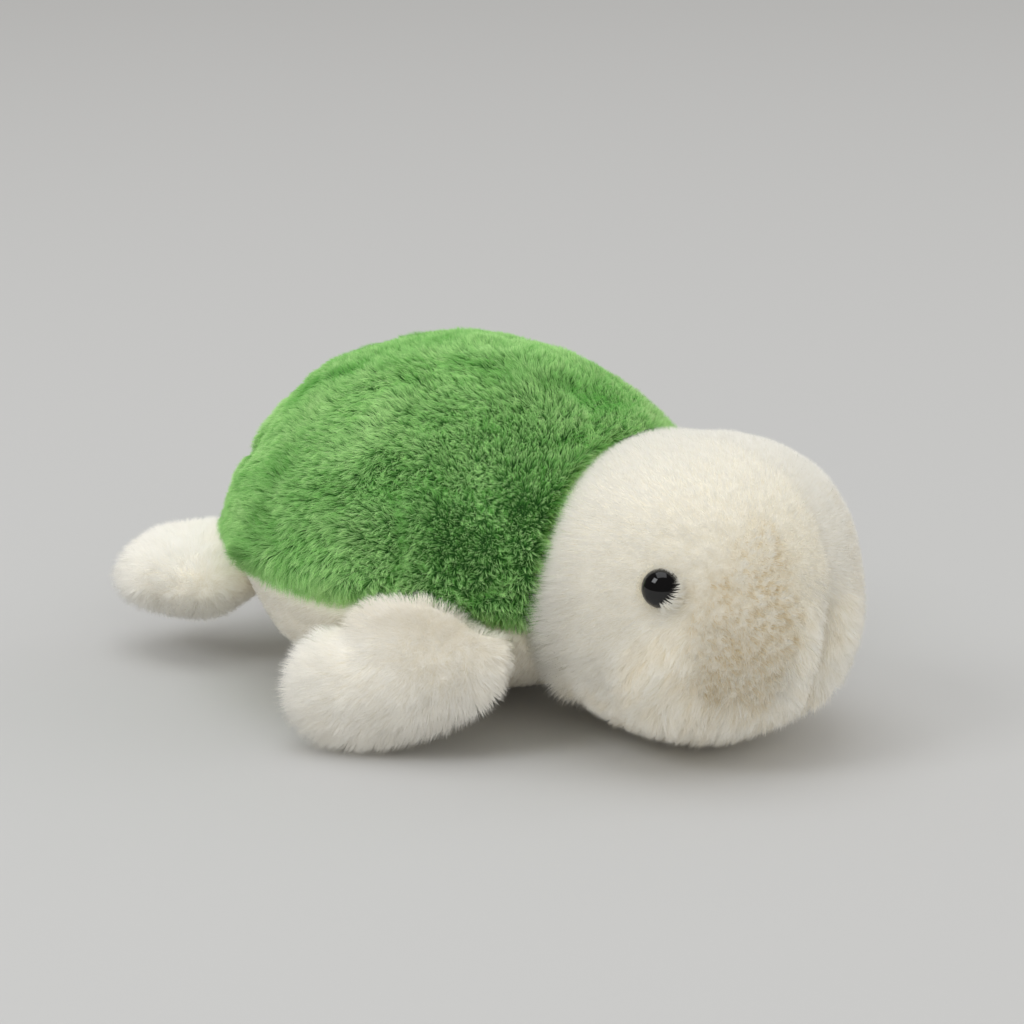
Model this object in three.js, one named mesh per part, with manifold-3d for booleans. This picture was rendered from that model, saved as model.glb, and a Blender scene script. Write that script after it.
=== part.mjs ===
// Plush turtle: a stuffed body under a domed shell, a ball head and four flippers.
// Millimetres, +Z up. The turtle looks along -Y and its right side is -X.
import * as THREE from 'three';
import { mergeVertices } from 'three/addons/utils/BufferGeometryUtils.js';
import Module from 'manifold-3d';

const wasm = await Module();
wasm.setup();

// Sizes of the body, from the middle of its underside.
const bodyMiddleHeight = 57;
const bodyUnderDepth = 57.5;
const bodyRise = 63;
const shellHalfLength = 89;
const shellHalfWidth = 78;
const shellLean = 3.5;
const hemHeight = 45;
const hemOverhang = 4;

// Sizes of the head, a ball set into the front of the body.
const headRadius = 53.5;
const headHalfHeight = 50.5;
const headForward = 92.5;
const headMiddleHeight = 50;

// Cloth, its pile, and the spaces between pieces.
const skinThickness = 7;
const backingThickness = 2;
const gap = 0.3;
const bendClearance = 0.6;
const seamGap = gap;

// Eyes: a glossy dome on a shank, locked behind the cloth by a washer.
const eyeRadius = 6.1;
const eyeRise = 5.6;
const eyeFlange = 0.8;
const shankRadius = 2;
const shankLength = 7;
const washerRadius = 6.5;
const washerThickness = 1.4;
const eyeTurn = 67.5;
const eyeLift = 15;

// Flippers on the right side: where the root lies, as shares of the shell's half width, its half
// length and the body's middle height, then the way to the tip and the half sizes across.
const frontFlipper = {
  name: 'front',
  rootShares: [-0.692, -0.663, 0.772],
  toTip: [-38, 60, -31],
  buried: 4,
  halfWidth: 29,
  halfThickness: 16,
  rollDegrees: 12,
  rootShare: 0.12,
  tipShare: 0.22,
  swing: { axis: [0, 0, 1], degrees: [-3, 10, 22, 35] },
};
const rearFlipper = {
  name: 'rear',
  rootShares: [-0.41, 0.787, 0.544],
  toTip: [-13, 51, -3],
  buried: 9,
  halfWidth: 22,
  halfThickness: 16,
  rollDegrees: 75,
  rootShare: 0.28,
  tipShare: 0.12,
  swing: { axis: [1, 0, 0], degrees: [-15, -5, 5, 15] },
};

// Roundness shares: 1 gives an ellipse, more gives a sharper crown.
const shellRoundnessShare = 1.16;
const bellyRoundnessShare = 0.85;
const headRoundnessShare = 0.94;
const limbFullnessShare = 2.15;

// How finely the soft forms are cut into facets.
const bodyFacets = { rings: 16, around: 32 };
const headFacets = { rings: 14, around: 28 };
const limbFacets = { rings: 9, around: 14 };
const eyeFacets = { rings: 6, around: 20 };

const GREEN = { color: 0x68a258, roughness: 0.92 };
const CREAM = { color: 0xe6dfcf, roughness: 0.92 };
const WADDING = { color: 0xf1efe9, roughness: 0.98 };
const BLACK_GLOSS = { color: 0x0b0a0a, roughness: 0.08 };
const WHITE_PLASTIC = { color: 0xe9e8e3, roughness: 0.45 };

const group = new THREE.Group();

// A closed solid from rings of points between two end points.
function ringSolid(facets, pointAt) {
  const points = [pointAt(0, 0)];
  for (let i = 1; i < facets.rings; i += 1) {
    for (let j = 0; j < facets.around; j += 1) {
      points.push(pointAt(i / facets.rings, j / facets.around));
    }
  }
  points.push(pointAt(1, 0));
  const triangles = [];
  const at = (i, j) => 1 + (i - 1) * facets.around + (j % facets.around);
  const last = points.length - 1;
  for (let j = 0; j < facets.around; j += 1) {
    triangles.push(0, at(1, j + 1), at(1, j));
    triangles.push(last, at(facets.rings - 1, j), at(facets.rings - 1, j + 1));
    for (let i = 1; i < facets.rings - 1; i += 1) {
      triangles.push(at(i, j), at(i, j + 1), at(i + 1, j));
      triangles.push(at(i, j + 1), at(i + 1, j + 1), at(i + 1, j));
    }
  }
  return solidFrom(points.flat(), triangles);
}

function solidFrom(positions, triangles) {
  return new wasm.Manifold(new wasm.Mesh({
    numProp: 3,
    vertProperties: new Float32Array(positions),
    triVerts: new Uint32Array(triangles),
  }));
}

function solidFromGeometry(geometry, matrix) {
  const plain = geometry.clone();
  plain.deleteAttribute('normal');
  plain.deleteAttribute('uv');
  const merged = mergeVertices(plain);
  merged.applyMatrix4(matrix);
  return solidFrom(merged.attributes.position.array, merged.index.array);
}

// An egg with separate half heights above and below its middle.
function eggSolid(egg, grow) {
  return ringSolid(egg.facets, (u, v) => {
    const lift = Math.PI * (u - 0.5);
    const turn = 2 * Math.PI * v;
    const flat = Math.cos(lift) ** egg.roundness;
    const upright = Math.sign(u - 0.5) * Math.abs(Math.sin(lift)) ** egg.roundness;
    const halfHeight = (u > 0.5 ? egg.above : egg.below) + grow;
    const height = halfHeight * upright;
    const x = (egg.halfWidth + grow) * flat * Math.cos(turn);
    const y = (egg.halfLength + grow) * flat * Math.sin(turn) - egg.lean * upright;
    return [x + egg.middle[0], y + egg.middle[1], height + egg.middle[2]];
  });
}

// A box that keeps what lies on one side of a level.
const reach = 4 * shellHalfLength;
function slab(low, high, axis) {
  const middle = [0, 0, 0];
  const size = [reach, reach, reach];
  middle[axis] = (low + high) / 2;
  size[axis] = high - low;
  const place = new THREE.Matrix4().makeTranslation(...middle);
  return solidFromGeometry(new THREE.BoxGeometry(...size), place);
}

const shellEgg = {
  middle: [0, 0, bodyMiddleHeight],
  above: bodyRise,
  below: bodyUnderDepth,
  halfWidth: shellHalfWidth,
  halfLength: shellHalfLength,
  lean: shellLean,
  roundness: shellRoundnessShare,
  facets: bodyFacets,
};
const bellyEgg = {
  ...shellEgg,
  halfWidth: shellHalfWidth - hemOverhang,
  halfLength: shellHalfLength - hemOverhang,
  lean: 0,
  roundness: bellyRoundnessShare,
};
const headEgg = {
  middle: [0, -headForward, headMiddleHeight],
  above: headHalfHeight,
  below: headHalfHeight,
  halfWidth: headRadius,
  halfLength: headRadius,
  lean: 0,
  roundness: headRoundnessShare,
  facets: headFacets,
};

const aboveFloor = slab(0, reach, 2);
const aboveHem = slab(hemHeight + seamGap / 2, reach, 2);
const belowHem = slab(-reach, hemHeight - seamGap / 2, 2);

function addMesh(name, solid, look) {
  const mesh = solid.getMesh();
  const geometry = new THREE.BufferGeometry();
  geometry.setAttribute('position', new THREE.BufferAttribute(mesh.vertProperties, 3));
  geometry.setIndex(new THREE.BufferAttribute(mesh.triVerts, 1));
  geometry.computeVertexNormals();
  const material = new THREE.MeshStandardMaterial({ ...look, metalness: 0 });
  const result = new THREE.Mesh(geometry, material);
  result.name = name;
  group.add(result);
}

// Body: two covers that meet at the hem, and the filling inside them.
const socket = eggSolid(headEgg, bendClearance);
const socketWall = eggSolid(headEgg, bendClearance + skinThickness);
const socketFilling = eggSolid(headEgg, bendClearance + skinThickness + gap);
const shellInside = eggSolid(shellEgg, -skinThickness).subtract(socketWall);
const bellyInside = eggSolid(bellyEgg, -skinThickness).subtract(socketWall);
const shellCover = eggSolid(shellEgg, 0).intersect(aboveHem).subtract(socket).subtract(shellInside);
const bellyCover = eggSolid(bellyEgg, 0)
  .intersect(belowHem)
  .intersect(aboveFloor)
  .subtract(socket)
  .subtract(bellyInside);
const bodyFilling = eggSolid(shellEgg, -skinThickness - gap)
  .intersect(aboveHem)
  .add(eggSolid(bellyEgg, -skinThickness - gap).intersect(slab(-reach, hemHeight + hemOverhang, 2)))
  .subtract(socketFilling);
addMesh('shell_cover', shellCover, GREEN);
addMesh('belly_cover', bellyCover, CREAM);
addMesh('body_filling', bodyFilling, WADDING);

// Eyes: the same profile makes the dome, its seat in the cloth and the washer's pocket.
function turned(profile, matrix) {
  const points = profile.map(([radius, height]) => new THREE.Vector2(radius, height));
  return solidFromGeometry(new THREE.LatheGeometry(points, eyeFacets.around), matrix);
}

function eyeMatrix(side) {
  const turn = THREE.MathUtils.degToRad(eyeTurn);
  const lift = THREE.MathUtils.degToRad(eyeLift);
  const direction = new THREE.Vector3(
    side * Math.sin(turn) * Math.cos(lift),
    -Math.cos(turn) * Math.cos(lift),
    Math.sin(lift),
  );
  const power = 2 / headRoundnessShare;
  const flatShare = (Math.cos(lift) / headRadius) ** power;
  const uprightShare = (Math.sin(lift) / headHalfHeight) ** power;
  const depth = (flatShare + uprightShare) ** (-1 / power);
  const spot = direction.clone().multiplyScalar(depth - skinThickness + backingThickness);
  spot.add(new THREE.Vector3(...headEgg.middle));
  const upright = new THREE.Vector3(0, 1, 0);
  const turnTo = new THREE.Quaternion().setFromUnitVectors(upright, direction);
  return new THREE.Matrix4().compose(spot, turnTo, new THREE.Vector3(1, 1, 1));
}

function eyeProfile(grow) {
  const profile = [[0, -shankLength - grow], [shankRadius + grow, -shankLength - grow]];
  profile.push([shankRadius + grow, -grow], [eyeRadius + grow, -grow]);
  profile.push([eyeRadius + grow, eyeFlange]);
  for (let i = 1; i < eyeFacets.rings; i += 1) {
    const lift = (Math.PI / 2) * (i / eyeFacets.rings);
    const radius = (eyeRadius + grow) * Math.cos(lift);
    profile.push([radius, eyeFlange + (eyeRise - eyeFlange + grow) * Math.sin(lift)]);
  }
  profile.push([0, eyeRise + grow]);
  return profile;
}

function boreProfile(radius, low, high) {
  return [[0, low], [radius, low], [radius, high], [0, high]];
}

const washerTop = -backingThickness - gap;
const washerLow = washerTop - washerThickness;
const pocketLow = Math.min(washerLow, -shankLength) - gap;

function washer(matrix) {
  const disc = turned(boreProfile(washerRadius, washerLow, washerTop), matrix);
  return disc.subtract(turned(boreProfile(shankRadius + gap, washerLow * 2, -washerLow), matrix));
}

// Head: two half covers that meet at the seam down the face, and the filling.
const headBall = eggSolid(headEgg, 0).intersect(aboveFloor);
let headCover = headBall.subtract(eggSolid(headEgg, -skinThickness));
let headFilling = eggSolid(headEgg, -skinThickness - gap);
const eyes = [['right', -1], ['left', 1]].map(([side, sign]) => [side, eyeMatrix(sign)]);
for (const [side, matrix] of eyes) {
  const seatHigh = skinThickness + eyeRise;
  const seat = turned(boreProfile(eyeRadius + gap, -gap, seatHigh), matrix);
  const hole = turned(boreProfile(shankRadius + gap, -skinThickness, seatHigh), matrix);
  const pocket = turned(boreProfile(washerRadius + gap, pocketLow, skinThickness), matrix);
  const washerSeat = turned(boreProfile(washerRadius + gap, pocketLow, -backingThickness), matrix);
  headCover = headCover.subtract(seat).subtract(hole).subtract(washerSeat);
  headFilling = headFilling.subtract(pocket);
  addMesh(`eye_${side}`, turned(eyeProfile(0), matrix), BLACK_GLOSS);
  addMesh(`eye_washer_${side}`, washer(matrix), WHITE_PLASTIC);
}
addMesh('head_cover_right', headCover.intersect(slab(-reach, -seamGap / 2, 0)), CREAM);
addMesh('head_cover_left', headCover.intersect(slab(seamGap / 2, reach, 0)), CREAM);
addMesh('head_filling', headFilling, WADDING);

function limbRoot(limb) {
  const [x, y, z] = limb.rootShares;
  return new THREE.Vector3(x * shellHalfWidth, y * shellHalfLength, z * bodyMiddleHeight);
}

// A flipper swells from its root and tapers to its tip, inside its own axes.
function limbFrame(limb) {
  const root = limbRoot(limb);
  const along = new THREE.Vector3(...limb.toTip);
  const length = along.length();
  along.normalize();
  const upright = new THREE.Vector3(0, 0, 1);
  const across = upright.clone().addScaledVector(along, -upright.dot(along)).normalize();
  const outward = new THREE.Vector3().crossVectors(across, along);
  const roll = THREE.MathUtils.degToRad(limb.rollDegrees);
  const normal = outward.clone().multiplyScalar(Math.cos(roll)).addScaledVector(across, Math.sin(roll));
  const width = new THREE.Vector3().crossVectors(normal, along);
  const matrix = new THREE.Matrix4().makeBasis(along, width, normal).setPosition(root);
  return { matrix, length };
}

function limbSolid(limb, grow) {
  const { matrix, length } = limbFrame(limb);
  const start = -limb.buried - grow;
  const whole = length + limb.buried + 2 * grow;
  return ringSolid(limbFacets, (u, v) => {
    const share = (1 - Math.cos(Math.PI * u)) / 2;
    const turn = 2 * Math.PI * v;
    const fullness = (1 - Math.abs(2 * share - 1) ** limbFullnessShare) ** (1 / limbFullnessShare);
    const narrowing = limb.rootShare * (1 - share) ** 2 + limb.tipShare * share ** 2;
    const swell = fullness * (1 - narrowing);
    const across = (limb.halfWidth + grow) * swell * Math.cos(turn);
    const out = (limb.halfThickness + grow) * swell * Math.sin(turn);
    const point = new THREE.Vector3(start + whole * share, across, out);
    return point.applyMatrix4(matrix).toArray();
  });
}

// The body as the flipper meets it while it bends through its whole range.
function sweptBody(limb, grow) {
  let swept = null;
  const root = limbRoot(limb);
  const axis = new THREE.Vector3(...limb.swing.axis);
  for (const degrees of limb.swing.degrees) {
    const turn = new THREE.Matrix4().makeRotationAxis(axis, -THREE.MathUtils.degToRad(degrees));
    const matrix = new THREE.Matrix4().makeTranslation(root)
      .multiply(turn)
      .multiply(new THREE.Matrix4().makeTranslation(root.clone().negate()));
    const body = eggSolid(shellEgg, grow).add(eggSolid(bellyEgg, grow)).transform(matrix.elements);
    swept = swept ? swept.add(body) : body;
  }
  return swept;
}

function halfSpace(limb, sign) {
  const { matrix } = limbFrame(limb);
  const place = matrix.clone().multiply(new THREE.Matrix4()
    .makeTranslation(0, 0, sign * (reach / 2 + seamGap / 2)));
  return solidFromGeometry(new THREE.BoxGeometry(reach, reach, reach), place);
}

function mirrored(solid) {
  const mesh = solid.getMesh();
  const positions = Float32Array.from(mesh.vertProperties);
  for (let i = 0; i < positions.length; i += 3) {
    positions[i] = -positions[i];
  }
  const triangles = Uint32Array.from(mesh.triVerts);
  for (let i = 0; i < triangles.length; i += 3) {
    [triangles[i], triangles[i + 1]] = [triangles[i + 1], triangles[i]];
  }
  return solidFrom(positions, triangles);
}

const headReach = eggSolid(headEgg, bendClearance);
for (const limb of [frontFlipper, rearFlipper]) {
  const outside = limbSolid(limb, 0)
    .intersect(aboveFloor)
    .subtract(sweptBody(limb, bendClearance))
    .subtract(headReach);
  const inside = limbSolid(limb, -skinThickness).subtract(sweptBody(limb, bendClearance + skinThickness));
  const filling = limbSolid(limb, -skinThickness - gap)
    .subtract(sweptBody(limb, bendClearance + skinThickness + gap));
  const cover = outside.subtract(inside);
  const pieces = [
    ['top', cover.intersect(halfSpace(limb, 1)), CREAM],
    ['bottom', cover.intersect(halfSpace(limb, -1)), CREAM],
    ['filling', filling, WADDING],
  ];
  for (const [part, solid, look] of pieces) {
    addMesh(`${limb.name}_right_flipper_${part}`, solid, look);
    addMesh(`${limb.name}_left_flipper_${part}`, mirrored(solid), look);
  }
}

// The frame's origin is at the bottom centre of the whole part.
const bounds = new THREE.Box3().setFromObject(group);
const middle = bounds.getCenter(new THREE.Vector3());
for (const mesh of group.children) {
  mesh.geometry.translate(-middle.x, -middle.y, -bounds.min.z);
}

export default group;
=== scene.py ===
# %% [markdown]
# # Plush turtle
# A stuffed turtle under a domed shell. Every soft piece is made the way the toy is: a padded
# cover shaped by the stuffing, and a pile of short strands rooted on that cover.
# Lengths in the formulas are millimetres in the row frame, and become metres in the meshes.

# %% The frame
import math

import bpy
import numpy as np
from mathutils import Matrix, Vector


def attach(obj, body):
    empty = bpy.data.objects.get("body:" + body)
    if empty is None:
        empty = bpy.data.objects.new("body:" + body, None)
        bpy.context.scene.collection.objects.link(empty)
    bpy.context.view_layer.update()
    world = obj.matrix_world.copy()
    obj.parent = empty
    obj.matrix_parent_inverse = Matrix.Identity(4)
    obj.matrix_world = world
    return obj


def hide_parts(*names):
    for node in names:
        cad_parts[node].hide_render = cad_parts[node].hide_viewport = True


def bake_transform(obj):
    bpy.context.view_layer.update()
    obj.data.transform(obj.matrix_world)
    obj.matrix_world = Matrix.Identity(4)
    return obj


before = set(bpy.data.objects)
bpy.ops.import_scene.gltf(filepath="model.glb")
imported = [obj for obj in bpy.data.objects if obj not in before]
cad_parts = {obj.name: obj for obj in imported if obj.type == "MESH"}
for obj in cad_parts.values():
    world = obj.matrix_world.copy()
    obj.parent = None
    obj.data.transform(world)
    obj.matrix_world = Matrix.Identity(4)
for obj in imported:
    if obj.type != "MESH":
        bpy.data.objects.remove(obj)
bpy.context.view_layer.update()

scene = bpy.context.scene
MM = 0.001
print("nodes in the frame:", len(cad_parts))

# %% [markdown]
# ## Sizes
# The same eggs as in the CAD. An egg has half sizes, a middle, a roundness power (1 is an
# ellipse, more is a sharper crown, less is fuller) and a lean of its top towards the head.

# %% Eggs
BODY_Y = 12.45
SHELL = dict(
    middle=(0.0, BODY_Y, 57.0), wide=78.0, long=89.0, above=63.0, below=57.5, lean=3.5, power=1.16
)
BELLY = dict(
    middle=(0.0, BODY_Y, 57.0), wide=74.0, long=85.0, above=63.0, below=57.5, lean=0.0, power=0.85
)
HEAD = dict(
    middle=(0.0, BODY_Y - 92.5, 50.0),
    wide=53.5, long=53.5, above=50.5, below=50.5, lean=0.0, power=0.94,
)


def egg_point(egg, lift, turn, grow=0.0):
    """A point of an egg. Seen from above it lies at angle turn, at cos(lift)^power of the half
    sizes, and it stands sin(lift)^power of the half height above or below the middle."""
    flat = np.cos(lift) ** egg["power"]
    rise = np.sign(lift) * np.abs(np.sin(lift)) ** egg["power"]
    half = np.where(rise > 0, egg["above"], egg["below"]) + grow
    x = (egg["wide"] + grow) * flat * np.cos(turn)
    y = (egg["long"] + grow) * flat * np.sin(turn) - egg["lean"] * rise
    return np.stack([x, y, half * rise], -1) + egg["middle"]


def egg_level(egg, p, grow=0.0):
    """Under 1 inside an egg and over 1 outside it: the squared distance from its axis, as a share
    of the half sizes, to the power 1/power, plus the height's share to the power 2/power."""
    q = p - np.array(egg["middle"])
    rise = q[..., 2] / (np.where(q[..., 2] > 0, egg["above"], egg["below"]) + grow)
    x = q[..., 0] / (egg["wide"] + grow)
    y = (q[..., 1] + egg["lean"] * rise) / (egg["long"] + grow)
    return (x * x + y * y) ** (1 / egg["power"]) + np.abs(rise) ** (2 / egg["power"])


def unit(v):
    """Each vector divided by its length."""
    return v / np.maximum(np.linalg.norm(v, axis=-1, keepdims=True), 1e-9)


def smooth(low, high, x):
    """0 below low, 1 above high, and 3t^2 - 2t^3 between."""
    t = np.clip((x - low) / (high - low), 0, 1)
    return t * t * (3 - 2 * t)


def bell(x, width):
    """1 at 0, falling on both sides as exp(-(x / width)^2)."""
    return np.exp(-((x / width) ** 2))


# %% [markdown]
# ## Randomness
# A lattice of fixed random numbers gives a smooth noise, and the centres of the tufts that the
# pile gathers into. Both depend only on place, so each run gives the same toy.


# %% Noise and tufts
def lattice(cell, seed):
    """A number from 0 to 1 for each whole-numbered cell: its three numbers are multiplied by large
    odd numbers, mixed by shifts, and cut to 16 bits."""
    h = cell[..., 0] * 374761393 + cell[..., 1] * 668265263 + cell[..., 2] * 1440662683
    h = (h + seed * 40503 * 977) & 0xFFFFFFFF
    h = ((h ^ (h >> 13)) * 1274126177) & 0xFFFFFFFF
    h = ((h ^ (h >> 15)) * 2246822519) & 0xFFFFFFFF
    return ((h ^ (h >> 16)) & 0xFFFF) / 65535.0


def noise(p, size, seed):
    """Smooth noise from -1 to 1: the eight corners of the cell, eased along each axis."""
    q = p / size
    cell = np.floor(q).astype(np.int64)
    f = q - cell
    f = f * f * (3 - 2 * f)
    total = np.zeros(p.shape[:-1])
    for corner in np.ndindex(2, 2, 2):
        share = np.prod(np.where(corner, f, 1 - f), -1)
        total += share * lattice(cell + corner, seed)
    return 2 * total - 1


def tuft(p, size, seed):
    """The nearest of a lattice's scattered centres to each point, and that centre's own number."""
    q = p / size
    cell = np.floor(q).astype(np.int64)
    best = np.full(p.shape[:-1], 9.0)
    centre = np.zeros_like(p)
    mark = np.zeros(p.shape[:-1])
    for step in np.ndindex(3, 3, 3):
        c = cell + step - 1
        spot = c + np.stack([lattice(c, seed + k) for k in range(3)], -1)
        gap = ((q - spot) ** 2).sum(-1)
        closer = gap < best
        best = np.where(closer, gap, best)
        centre = np.where(closer[..., None], spot * size, centre)
        mark = np.where(closer, lattice(c, seed + 7), mark)
    return centre, mark


# %% [markdown]
# ## Meshes
# A cover is a grid of rings between two poles, so it is closed by itself.


# %% Grids of rings
def circle(around):
    """The angles of equal steps round a circle."""
    return np.arange(around) / around * 2 * math.pi


def placed(name, data, body):
    """An object at the origin that shows this mesh, lamp or camera and notes its body."""
    ob = bpy.data.objects.new(name, data)
    scene.collection.objects.link(ob)
    ob["rides_on"] = body
    return ob


def add_mesh(name, vertices, faces, body):
    """A mesh object at the origin, from points in millimetres and a list of faces."""
    mesh = bpy.data.meshes.new(name)
    mesh.from_pydata((vertices * MM).tolist(), [], faces)
    mesh.polygons.foreach_set("use_smooth", [True] * len(mesh.polygons))
    mesh.update()
    return placed(name, mesh, body)


def ring_faces(rings, around):
    """Faces of a grid with `rings` rows of `around` points between a first and a last pole. For
    each step round it: a triangle at each pole, and the squares between the rows."""
    j = np.arange(around)[:, None]
    k = (j + 1) % around
    row = 1 + np.arange(rings - 1) * around
    last = 1 + rings * around
    squares = np.stack([row + j, row + k, row + around + k, row + around + j], -1)
    first = np.stack([0 * j, 1 + k, 1 + j], -1)
    second = np.stack([0 * j + last, last - around + j, last - around + k], -1)
    steps = zip(first.tolist(), second.tolist(), squares.tolist())
    return [face for step in steps for faces in step for face in faces]


def ring_mesh(name, grid, low, high, body):
    """A closed mesh from a (rings, around, 3) grid, its first pole low and its last pole high."""
    points = np.concatenate([[low], grid.reshape(-1, 3), [high]])
    return add_mesh(name, points, ring_faces(*grid.shape[:2]), body)


def pushed_out(p, anchor, inside):
    """Points that are inside a neighbour slide towards an anchor until they are clear of it:
    the way between them is halved 16 times."""
    clear, sunk = np.broadcast_to(anchor, p.shape), p
    for _ in range(16):
        half = (clear + sunk) / 2
        deep = inside(half)[..., None]
        clear, sunk = np.where(deep, clear, half), np.where(deep, half, sunk)
    return np.where(inside(p)[..., None], clear, p)


# %% [markdown]
# ## Stuffing
# Each cover is blown up by a cloth simulation that pushes its cloth out from the filling, held
# where it is sewn or pressed by a neighbour. No point may move further than a cap.


# %% Cloth simulation
SWELL_CAP = 1.6
SIM_FRAMES = 16
CLOTH = dict(
    quality=4, mass=0.004, tension_stiffness=0.2, compression_stiffness=0.2, shear_stiffness=0.05,
    bending_stiffness=0.01, use_pressure=True, uniform_pressure_force=4, vertex_group_mass="Sewn",
)


def vectors(items, field, kind=float):
    """Three numbers for each of a mesh's items: "co" of vertices is their place in metres."""
    flat = np.empty(len(items) * 3, kind)
    items.foreach_get(field, flat)
    return flat.reshape(-1, 3)


def stuffed(pad, held):
    """Runs the cloth with pressure from within and no gravity, and writes its result, with each
    move cut to the cap, into the cover's mesh. `held` says which points stay."""
    start = vectors(pad.data.vertices, "co")
    sewn = pad.vertex_groups.new(name="Sewn")
    sewn.add(np.flatnonzero(held).tolist(), 1.0, "REPLACE")
    cloth = pad.modifiers.new("Stuffing", "CLOTH")
    for setting, value in CLOTH.items():
        setattr(cloth.settings, setting, value)
    cloth.settings.effector_weights.gravity = 0
    cloth.collision_settings.use_collision = False
    cloth.collision_settings.use_self_collision = False
    cloth.point_cache.frame_start, cloth.point_cache.frame_end = 1, SIM_FRAMES
    for frame_number in range(1, SIM_FRAMES + 1):
        scene.frame_set(frame_number)
    blown = pad.evaluated_get(bpy.context.evaluated_depsgraph_get())
    move = (vectors(blown.data.vertices, "co") - start) / MM
    far = np.linalg.norm(move, axis=1)
    print(pad.name, "swelled by mm, at most:", far.max().round(2))
    move = move * np.minimum(1, SWELL_CAP / np.maximum(far, 1e-6))[:, None]
    pad.modifiers.remove(cloth)
    pad.vertex_groups.remove(sewn)
    scene.frame_set(1)
    pad.data.vertices.foreach_set("co", (start + move * MM).ravel())
    pad.data.update()


# %% [markdown]
# ## Covers of the body
# The shell's cover runs from its crown to the hem, and the belly's from its underside to the
# hem. Both turn in at the hem, where they are sewn, and both are pressed in by the head.

# %% Hem, head and creases
HEAD_ROOM = -0.2  # how much the head's egg grows where it presses the body's covers in
GREEN_PILE, BELLY_PILE = 4.2, 2.4  # how far a cover lies under its egg, for the pile above it
CREASE = (21.0, 8)  # size and seed of the creases in the shell
HEM_SINK, HEM_HALF = 3.0, 4.0
FLOOR_GAP = 0.6  # no cover comes nearer to the floor


def hem_height(turn):
    """Where green meets cream: level round the sides and the back, dipping towards the neck."""
    front = smooth(0.35, 0.85, -np.sin(turn))
    return 46.0 - 8.0 * front + 0.8 * np.sin(5 * turn + 0.6)


def above_hem(p):
    """How high a point stands over the hem, at its own angle round the body."""
    return p[..., 2] - hem_height(np.arctan2(p[..., 1] - BODY_Y, p[..., 0]))


def in_head(p, grow):
    """Inside the head's egg, grown by this much."""
    return egg_level(HEAD, p, grow) < 1


def dents(p, size, seed):
    """Crease lines: 1 where a noise of this size crosses 0, falling as a bell beside it, and kept
    only where a second, wider noise is high."""
    line = bell(noise(p, size, seed), 0.16)
    return line * smooth(-0.1, 0.5, noise(p, 1.9 * size, seed + 1))


# %% Lumps of the body
def shell_lumps(grid, rear):
    """Noises of three sizes and creases. The stuffing also fills the shoulders: bells over the
    height, wider to the rear, and a hollow with a small roll above it towards the head."""
    z = grid[..., 2]
    lumps = noise(grid, 34.0, 3) + 1.5 * noise(grid, 14.0, 4) - 3.0 * dents(grid, *CREASE)
    back, front = smooth(-0.1, 0.7, rear), smooth(0.1, 0.7, -rear)
    swell = 2.2 * bell(z - 102, 12) + 2.0 * back * bell(z - 95, 12)
    shoulders = swell - front * (3.4 * bell(z - 96, 10) - 1.6 * bell(z - 112, 6))
    return lumps + 0.5 * noise(grid, 8.0, 5) + shoulders


def belly_lumps(grid, rear):
    """A wide noise, a fuller low belly behind, and a hollow in front under the head."""
    low = bell(grid[..., 2] - 18, 10) * smooth(-0.4, 0.2, rear)
    return 0.5 * noise(grid, 34.0, 3) + 2.5 * low - 3.5 * smooth(0.3, 0.8, -rear)


# %% Body covers
def body_grid(egg, pile, crown, rings=72, around=160):
    """Rings from the pole to the hem, then three rings across the cap that closes the cover. Near
    the hem the surface sinks as a bell, which makes the sewn groove, and above it the green
    cover rolls out as a lip."""
    turn = circle(around)
    sine = ((egg["middle"][2] - hem_height(turn)) / egg["below"]) ** (1 / egg["power"])
    edge = -np.arcsin(np.clip(sine, 0, 1))
    pole = math.pi / 2 if crown else -math.pi / 2
    share = np.sin(np.linspace(0, 1, rings + 1)[1:] * math.pi / 2) ** 0.9
    grid = egg_point(egg, pole + (edge - pole) * share[:, None], turn, -pile)
    centre = np.array(egg["middle"])
    above = grid[..., 2] - hem_height(turn)
    inward = unit((grid - centre) * [1, 1, 0])
    grid = grid - inward * (HEM_SINK * bell(above, HEM_HALF))[..., None]
    if crown:
        lip = bell(above - 5.0, 5.5) * (1.6 + 1.2 * smooth(-0.2, 0.6, np.sin(turn)))
        grid = grid + inward * (lip + 0.8 * lip * noise(grid, 17.0, 6))[..., None]
    lumps = (shell_lumps if crown else belly_lumps)(grid, np.sin(turn))
    grid = grid + unit(grid - centre) * lumps[..., None]
    axis = centre * [1, 1, 0]
    cap = [axis + (grid[-1] - axis) * [s, s, 1] for s in (0.8, 0.5, 0.2)]
    grid = np.concatenate([grid, np.stack(cap)])
    anchor = grid * [0, 0, 1] + [0, BODY_Y + 6, 0]
    return pushed_out(grid, anchor, lambda p: in_head(p, HEAD_ROOM + 0.1 * pile))


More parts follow.
